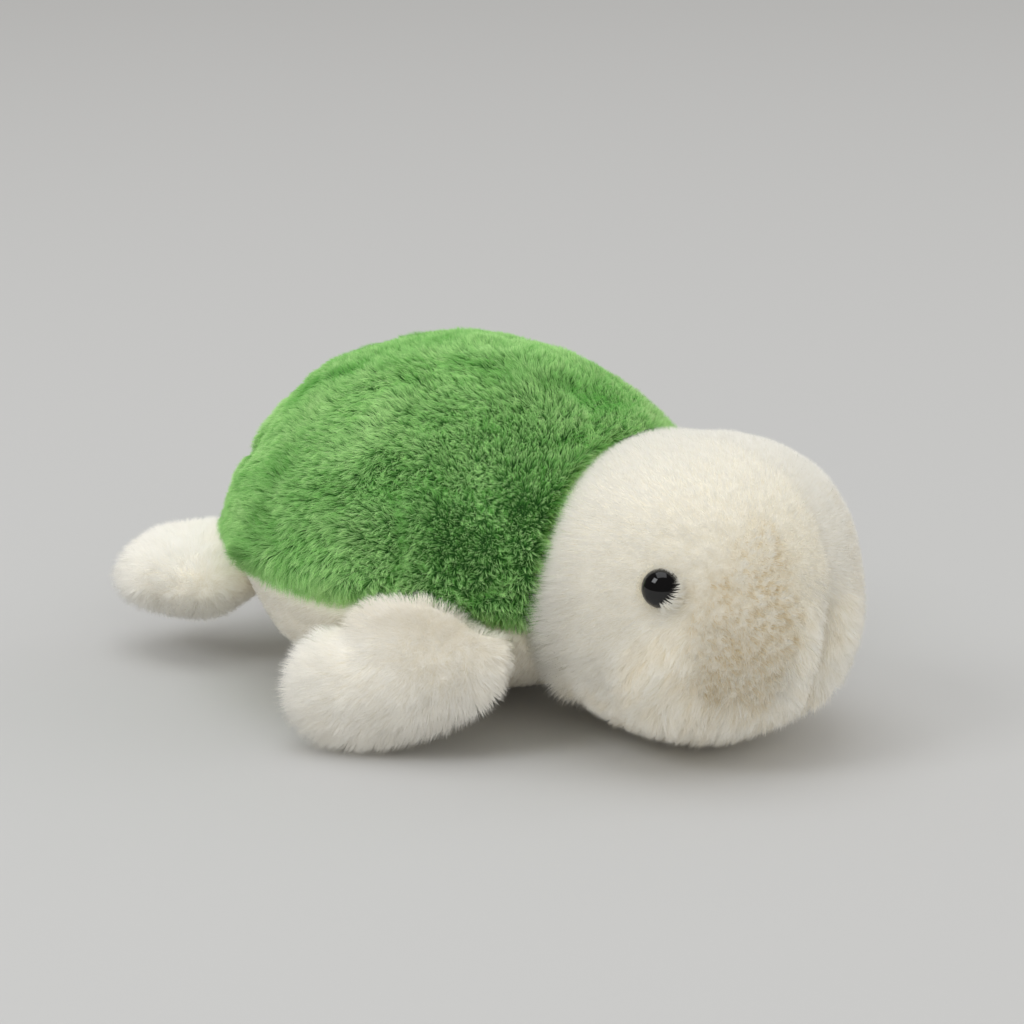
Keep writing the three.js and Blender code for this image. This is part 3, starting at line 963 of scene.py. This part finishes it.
# %% Head pile
def head_pile():
    """The zones set length, tufts and tint, and the strands round an eye turn towards it and
    lap over its front."""
    p, n, rng = scatter(head_pad, 5.6, head_weight, 103)
    patch, seam, brushed, chin, rim = head_zones(p)
    near_eye = round_eyes(p, n)
    loose = np.maximum(brushed, chin)
    lap = near_eye[0][1] + near_eye[1][1]
    drop = -0.4 - 0.9 * chin - 0.6 * brushed
    flow = tangent(np.stack([0.25 * np.sign(p[:, 0]), 0 * drop + 0.9, drop], -1), n)
    shares = (
        0.42 * brushed + 0.38 * chin, 0.06 + 0.56 * loose,
        0.1 + 0.5 * patch + 0.2 * loose + 0.5 * lap,
    )
    pull, marks = leaned(p, n, (6.0, 3.2, 1.5), shares, 55)
    tall, wide, fine = (mark - 0.5 for mark in marks)
    swirl = 0.3 * noise(p, 26.0, 52) + 0.8 * brushed * noise(p, 9.0, 51) + 5.5 * patch * fine
    flow = swirled(flow, n, swirl + rng.normal(0, 0.6 - 0.4 * loose))
    length = 2.8 + 3.4 * brushed + 2.6 * chin + 5.2 * rim - 1.0 * seam + 1.2 * loose * tall
    low = np.radians(9 + 13 * loose - 3 * patch - 5 * rim)
    high = np.radians(38 + 30 * loose - 2 * patch - 24 * rim) + rng.normal(0, 0.1, len(p))
    for ring, over, inward in near_eye:
        flow = unit(flow * (1 - ring[:, None]) + inward * (0.25 * ring + 0.75 * over)[:, None])
        length = length * (1 - 0.3 * ring) + 3.6 * over
        low = low * (1 - 0.8 * ring)
        high = high * (1 - 0.2 * ring) + math.radians(8) * over
    length *= rng.uniform(0.85 - 0.25 * loose, 1.12, len(p))
    width = rng.uniform(0.12, 0.18, len(p)) + 0.08 * near_eye[0][1]
    shade = 0.03 + 0.46 * patch * (0.9 + 0.4 * noise(p, 7.0, 57)) + 1.1 * patch * fine
    # Painted shade: in the valley of the face seam the pile is tinted darker and warmer.
    shade = shade + 0.45 * seam * (1 - patch) + loose * (0.06 + 0.26 * wide + 0.16 * tall)
    shade = shade + 0.04 * wide + rng.normal(0, 0.02 + 0.18 * patch)
    strands = (p, n, flow, length, low, high, pull, width, shade, 0.25 + 0.45 * loose)
    q = unit(p - HEAD_MIDDLE)
    return pile("head_pile", strands, np.arctan2(q[:, 0], -q[:, 1]), cream_pile, "head")


# %% [markdown]
# ## Pile of the flippers
# A brushed crown, as on a pet's paw: the pile stands up there and spreads from it to all sides.

# %% Flipper pile
def limb_pile(name, limb, side, seed):
    """Strands flow away from the crown, longer at the edge and the tip and shorter at the root."""
    pad = LIMBS[name][2]
    along, _, face = (mirror(v, side) for v in limb_axes(limb))
    root, tip = mirror(limb["root"], side), mirror(limb["tip"], side)

    def shown(p):
        """No strands inside the body or the head, or on the floor."""
        return (body_level(p, 1.5) >= 1) & ~in_head(p, 0.0) & (p[:, 2] > 1.3)

    p, n, rng = scatter(pad, 8.4, shown, seed)
    reach = (p - root) @ along / np.linalg.norm(tip - root)
    spread = p - mirror(np.array(limb["crown"]), side)
    near = smooth(19, 7, np.linalg.norm(spread, axis=1) + 4 * noise(p, 9.0, 60))
    flow = tangent(unit(spread) + 0.3 * along + np.array([0, 0, -0.2]), n)
    swirl = 0.7 * noise(p, 16.0, 61) + (0.35 + 2.4 * near) * noise(p, 4.0, 62)
    swirl += rng.normal(0, 0.16 + 1.1 * near)
    flow = swirled(flow, n, swirl)
    edge = smooth(0.55, 0.0, np.abs((p - root) @ face) / limb["thick"])
    length = 4.6 + 1.2 * smooth(0.3, 1.0, reach) + 1.8 * edge * smooth(0.0, 0.3, reach) - 0.6 * near
    length -= 1.6 * smooth(0.22, 0.0, reach)
    length *= rng.uniform(0.78, 1.15, len(p))
    low = np.radians(16 + 8 * noise(p, 8.0, 63) - 6 * near)
    high = np.radians(64 + 10 * noise(p, 6.0, 64) - 24 * near) + rng.normal(0, 0.11, len(p))
    pull, (wide, fine) = leaned(p, n, (4.6, 1.4), (0.25, 0.2 + 0.3 * near), 65)
    width = rng.uniform(0.11, 0.17, len(p))
    # Painted shade: near the body the pile is tinted darker and warmer, where the flipper meets it.
    sewn = smooth(1.35, 1.08, body_level(p))
    shade = 0.02 + 0.04 * noise(p, 18.0, 67) + 0.08 * (wide - 0.5) + rng.normal(0, 0.02, len(p))
    shade = shade + near * (0.05 + 0.12 * (fine - 0.5)) + 0.16 * sewn
    strands = (p, n, flow, length, low, high, pull, width, shade, np.full(len(p), 0.25))
    return pile(name + "_pile", strands, reach, flipper_pile, name)


PILES = shell_pile() + belly_pile() + head_pile()
for k, (name, (limb, side, _)) in enumerate(LIMBS.items()):
    PILES += limb_pile(name, limb, side, 200 + k)

# %% [markdown]
# ## Eyes
# A glossy black dome on each side, a little taller than the flange it stands on.

# %% Eyes
EYE_RADIUS, EYE_RISE = 6.1, 5.6


def eye_mesh(name, side, rings=18, around=48):
    """A dome whose radius falls as a quarter circle, turned onto its way out of the head, closed
    below by a flange with a rounded edge."""
    lift = np.concatenate([[-0.5, -0.25], np.arange(rings) / rings * math.pi / 2])
    lift, turn = np.meshgrid(lift, circle(around), indexing="ij")
    radius = EYE_RADIUS * np.where(lift < 0, 1 + lift * 0.12, np.cos(lift))
    height = 0.8 + np.where(lift < 0, lift * 1.6, (EYE_RISE - 0.8) * np.sin(lift))
    grid = np.stack([radius * np.cos(turn), radius * np.sin(turn), height], -1)
    turn_to = Vector((0, 0, 1)).rotation_difference(Vector(eye_way(side))).to_matrix()
    turn_to, seat = np.array(turn_to).T, eye_seat(side)
    low, top = np.array([[0, 0, height[0, 0]], [0, 0, EYE_RISE]]) @ turn_to + seat
    return ring_mesh(name, grid @ turn_to + seat, low, top, "head")


def eye_material():
    """Polished black plastic: a fine noise moves its roughness a little, as handling does."""
    black = (0.004, 0.0035, 0.0035, 1)
    material, tree, shader = new_material("Eye plastic", Base_Color=black)
    inputs = {"Value": grain(tree, 900.0, 4.0), "To Min": 0.03, "To Max": 0.09}
    spread = add_node(tree, "MapRange", inputs)
    tree.links.new(spread.outputs["Result"], shader.inputs["Roughness"])
    return material


eye_plastic = eye_material()
EYES = {"eye_right": eye_mesh("eye_right_dome", -1), "eye_left": eye_mesh("eye_left_dome", 1)}
for ob in EYES.values():
    ob.data.materials.append(eye_plastic)
print("eyes:", EYE_RADIUS * 2, "mm wide")

# %% [markdown]
# ## What each piece stands for
# Covers, piles and eyes ride on their bodies, and the covers and eyes replace the plain solids.

# %% Bodies, slots and CAD nodes
def join(ob, body):
    """A flipper's pieces are sewn on at the root; here their places are baked into their meshes.
    All others ride on their body."""
    if body not in LIMBS:
        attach(ob, body)
        return
    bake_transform(ob)


COVERS = [shell_pad, belly_pad, head_pad, *(pad for _, _, pad in LIMBS.values())]
for ob in COVERS + PILES:
    join(ob, ob["rides_on"])
for pad in COVERS:
    pad.data.materials.append(green_cloth if pad == shell_pad else cream_cloth)
for node, ob in EYES.items():
    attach(ob, "head")
    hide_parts(node)
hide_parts("shell_cover")
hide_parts("belly_cover")
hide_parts("head_cover_right", "head_cover_left")
for name, (_, _, pad) in LIMBS.items():
    filling = FILLINGS[name]
    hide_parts(name + "_top", name + "_bottom")
    filling.data.materials.append(wadding)
    join(filling, name)
    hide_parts(name + "_filling")
for name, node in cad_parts.items():
    paint = wadding if name.endswith("_filling") else washer_plastic
    if name.endswith("_filling") or name.startswith("eye_washer"):
        node.data.materials.clear()
        node.data.materials.append(paint)

# %% [markdown]
# ## Studio
# A plain pale floor under soft light from above and behind, seen from the photograph's side. The
# camera looks at the head's middle from 1 m, and is moved sideways so that the head comes where
# the photograph has it.

# %% Camera
AZIMUTH, ELEVATION = math.radians(-51.0), math.radians(15.5)
LENS, FRAME, SENSOR = 3160, 1024, 36  # lens and frame in pixels, and the sensor's mm
ASIDE, ABOVE = 185, 73  # pixels from the frame's middle to the head's middle


def looking(place, back):
    """The matrix of a lamp or camera at a place, with its back pointing this way."""
    return Matrix.Translation(place) @ back.to_track_quat("Z", "Y").to_matrix().to_4x4()


back = Vector(way_at(AZIMUTH, ELEVATION))
right = Vector((math.cos(AZIMUTH), math.sin(AZIMUTH), 0))
up = back.cross(right)
aim = Vector(HEAD_MIDDLE * MM) - right * (ASIDE / LENS) + up * (ABOVE / LENS)
camera_data = bpy.data.cameras.new("camera")
camera_data.lens = LENS / FRAME * SENSOR
camera_data.sensor_width = SENSOR
camera = placed("camera", camera_data, "stage")
camera.matrix_world = looking(aim + back, back)
scene.camera = camera
print("camera lens:", round(camera_data.lens, 1))

# %% Floor
FLOOR_HALF = 4000.0
GREY, WALL, IN_GLOSS = (0.56, 0.56, 0.56, 1), (0.64, 0.628, 0.604, 1), (0.10, 0.10, 0.10, 1)
paint = new_material("Floor", Base_Color=GREY, Roughness=0.9, Specular_IOR_Level=0.1)[0]
corners = FLOOR_HALF * np.array([[-1, -1, 0], [1, -1, 0], [1, 1, 0], [-1, 1, 0]])
floor = add_mesh("floor", corners, [(0, 1, 2, 3)], "stage")
floor.data.materials.append(paint)

# %% Lamps and surroundings
LAMP = (0.965, 0.985, 1.0)
level = Vector((back.x, back.y, 0)).normalized()
above = Vector((0, 0, 1))
LIGHTS = {  # place from the toy's middle in metres, width and height, watts, seen in gloss
    "top": (3.4 * above - 0.3 * right, (2.6, 2.6), 33, True),
    "window": (Vector((-1.51, 0.53, 1.51)), (0.8, 0.8), 9, True),
    "front": (3.2 * level + 0.6 * right + 1.2 * above, (3.0, 2.4), 11.5, False),
    "side": (3.0 * right - 0.4 * level + 1.8 * above, (2.4, 2.0), 14, False),
}
for name, (way, size, power, glossy) in LIGHTS.items():
    light = bpy.data.lights.new(name, "AREA")
    light.shape = "RECTANGLE"
    light.size, light.size_y = size
    light.energy, light.color = power, LAMP
    ob = placed(name, light, "stage")
    ob.matrix_world = looking(Vector((0, 0, 0.05)) + way, way)
    ob.visible_glossy = glossy

world = bpy.data.worlds.new("world")
world.use_nodes = True
tree = world.node_tree
in_gloss = add_node(tree, "LightPath").outputs["Is Glossy Ray"]
tree.links.new(blended(tree, in_gloss, WALL, IN_GLOSS), tree.nodes["Background"].inputs["Color"])
scene.world = world
scene.cycles.max_bounces = 16
scene.cycles.diffuse_bounces = 10
scene.view_settings.view_transform = "Standard"
print("lamps:", ", ".join(LIGHTS))
